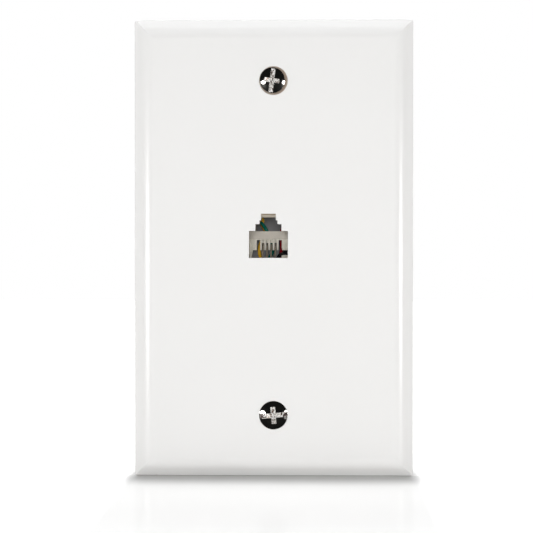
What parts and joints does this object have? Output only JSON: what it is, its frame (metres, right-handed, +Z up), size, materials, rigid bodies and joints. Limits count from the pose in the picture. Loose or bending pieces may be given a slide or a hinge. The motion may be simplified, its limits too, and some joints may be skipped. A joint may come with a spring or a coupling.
{
  "type": "telephone wall socket",
  "caption": "White flush wall plate with a keyed modular telephone port, screw terminals behind it and oval-head mounting screws.",
  "frame": {"origin": "halfway between the two mounting screws, in the plane of the plate's back rim, which lies on the wall", "axes": "+Y runs into the wall along the mounting screws, +Z runs up the plate's length and +X runs to the right as seen from the front"},
  "size_m": [0.0698, 0.02, 0.1142],
  "materials": {
    "plate_plastic": "gloss",
    "insert_plastic": "satin",
    "cover_plastic": "satin",
    "contact_metal": "polished",
    "tinned_metal": "satin",
    "insulation_yellow": "satin",
    "insulation_green": "satin",
    "insulation_red": "satin",
    "insulation_black": "satin",
    "terminal_brass": "polished",
    "screw_nickel": "polished"
  },
  "bodies": {
    "root": {"wall_plate": "plate_plastic", "jack_insert": "insert_plastic", "rear_cover": "cover_plastic", "contact_yellow": "contact_metal", "contact_green": "contact_metal", "contact_red": "contact_metal", "contact_black": "contact_metal", "ferrule_yellow": "tinned_metal", "ferrule_green": "tinned_metal", "ferrule_red": "tinned_metal", "ferrule_black": "tinned_metal", "lead_yellow": "insulation_yellow", "lead_green": "insulation_green", "lead_red": "insulation_red", "lead_black": "insulation_black", "spade_yellow": "tinned_metal", "spade_green": "tinned_metal", "spade_red": "tinned_metal", "spade_black": "tinned_metal", "terminal_washer_yellow": "terminal_brass", "terminal_washer_green": "terminal_brass", "terminal_washer_red": "terminal_brass", "terminal_washer_black": "terminal_brass", "terminal_screw_yellow": "terminal_brass", "terminal_screw_green": "terminal_brass", "terminal_screw_red": "terminal_brass", "terminal_screw_black": "terminal_brass", "mounting_screw_top": "screw_nickel", "mounting_screw_bottom": "screw_nickel"}
  },
  "joints": []
}
